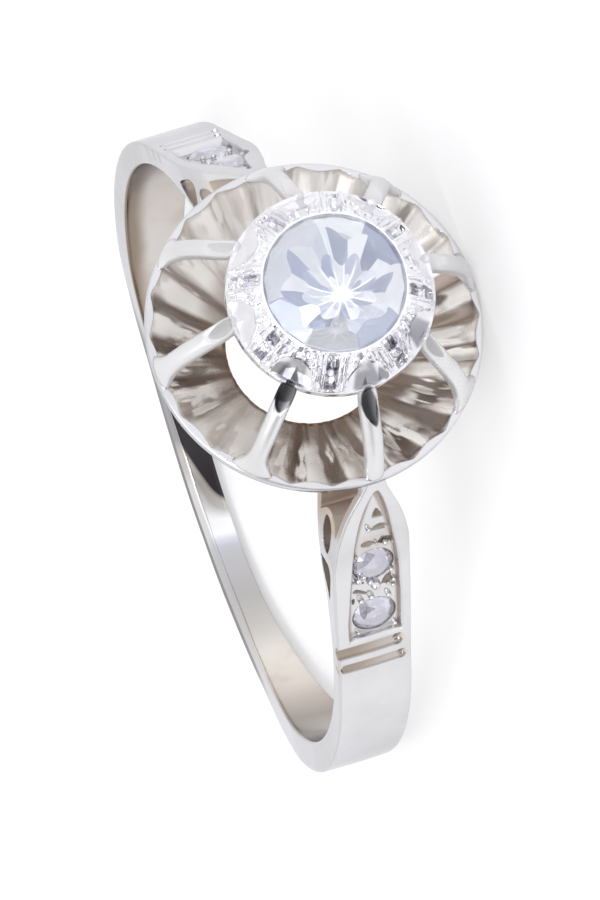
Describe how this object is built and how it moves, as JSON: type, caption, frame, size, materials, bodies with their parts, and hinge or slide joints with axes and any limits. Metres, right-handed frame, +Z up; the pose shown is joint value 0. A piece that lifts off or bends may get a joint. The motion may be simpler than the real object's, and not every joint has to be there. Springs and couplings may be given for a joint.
{
  "type": "solitaire ring",
  "caption": "Finger ring with a round brilliant in a domed illusion plate, claws on a fluted cup, pierced stone-set shoulders and a band that narrows to the back.",
  "frame": {"origin": "on the surface that the ring lies on, under the middle of its box", "axes": "+Z up from that surface, +Y from the head towards the back of the band, +X to the left shoulder when the head is seen from above with the back of the band below; the finger hole's axis leans 11.6 degrees from +Z towards +Y"},
  "size_m": [0.0186, 0.0252, 0.0091],
  "materials": {
    "mount_metal": "polished white gold, finely scratched, with tarnish in the cup",
    "plate_metal": "bright-cut white metal",
    "centre_stone": "faceted brilliant",
    "shoulder_stone": "faceted single cut"
  },
  "bodies": {
    "root": {"ring_mount": "mount_metal", "illusion_plate": "plate_metal", "centre_stone": "centre_stone", "shoulder_stone_near_lower": "shoulder_stone", "shoulder_stone_near_upper": "shoulder_stone", "shoulder_stone_far_lower": "shoulder_stone", "shoulder_stone_far_upper": "shoulder_stone"}
  },
  "joints": []
}
